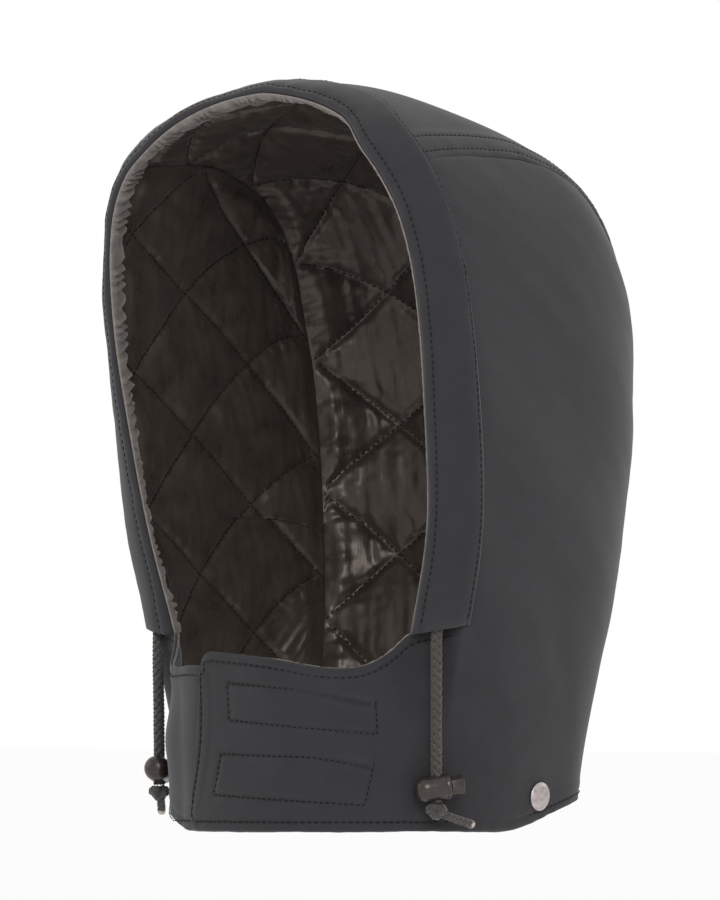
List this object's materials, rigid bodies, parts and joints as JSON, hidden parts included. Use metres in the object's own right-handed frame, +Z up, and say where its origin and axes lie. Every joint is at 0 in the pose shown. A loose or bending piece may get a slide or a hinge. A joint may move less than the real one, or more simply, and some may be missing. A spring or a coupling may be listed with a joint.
{
  "type": "detachable hood",
  "caption": "Detachable insulated work hood: panelled duck shell, quilted satin lining, drawcord casing with cord locks, and a collar that closes at the front with an overlapping flap.",
  "frame": {"origin": "just under the lining of the crown, where the hood rests on the top of the head", "axes": "+Z up, -Y out of the face opening, +X to the wearer's left"},
  "size_m": [0.2326, 0.2336, 0.371],
  "materials": {
    "shell_duck": "matte tight twill",
    "lining_satin": "glossy satin",
    "lining_gathered": "soft satin",
    "drawcord_braid": "braided",
    "lock_plastic": "gloss",
    "snap_metal": "satin nickel"
  },
  "bodies": {
    "root": {"center_panel": "shell_duck", "side_panel_left": "shell_duck", "side_panel_right": "shell_duck", "face_casing": "shell_duck", "lining_left": "lining_satin", "lining_right": "lining_satin", "lining_center": "lining_satin", "lining_edge": "lining_gathered", "snap_cap_left": "snap_metal", "snap_cap_right": "snap_metal", "snap_socket_left": "snap_metal", "snap_socket_right": "snap_metal", "drawcord_left": "drawcord_braid", "drawcord_right": "drawcord_braid", "cord_knot_left": "drawcord_braid", "cord_knot_right": "drawcord_braid", "cord_lock_barrel_left": "lock_plastic", "cord_lock_barrel_right": "lock_plastic", "cord_lock_plunger_left": "lock_plastic", "cord_lock_plunger_right": "lock_plastic"}
  },
  "joints": []
}
